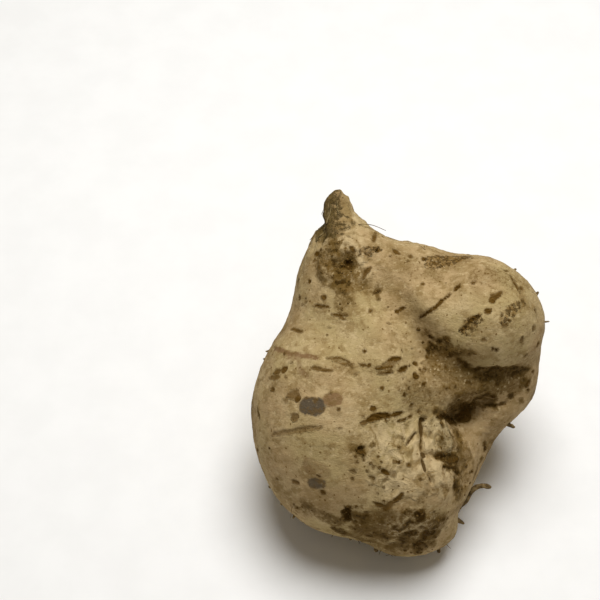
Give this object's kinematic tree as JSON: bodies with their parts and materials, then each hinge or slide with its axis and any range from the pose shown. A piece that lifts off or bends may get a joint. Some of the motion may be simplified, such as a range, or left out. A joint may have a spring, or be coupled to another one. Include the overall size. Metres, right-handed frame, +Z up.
{
  "type": "sweet potato",
  "caption": "Raw lumpy pale-skinned sweet potato tuber with swollen lobes, a woody neck and a thin side root, lying on its rounded underside.",
  "frame": {"origin": "on the surface that the tuber rests on, under the middle of its bounding box", "axes": "+Z up; +Y from the root end towards the neck; +X across the tuber, towards its overhanging side swelling"},
  "size_m": [0.1012, 0.1042, 0.0882],
  "materials": {
    "skin": null
  },
  "bodies": {
    "root": {"tuber": "skin"}
  },
  "joints": []
}
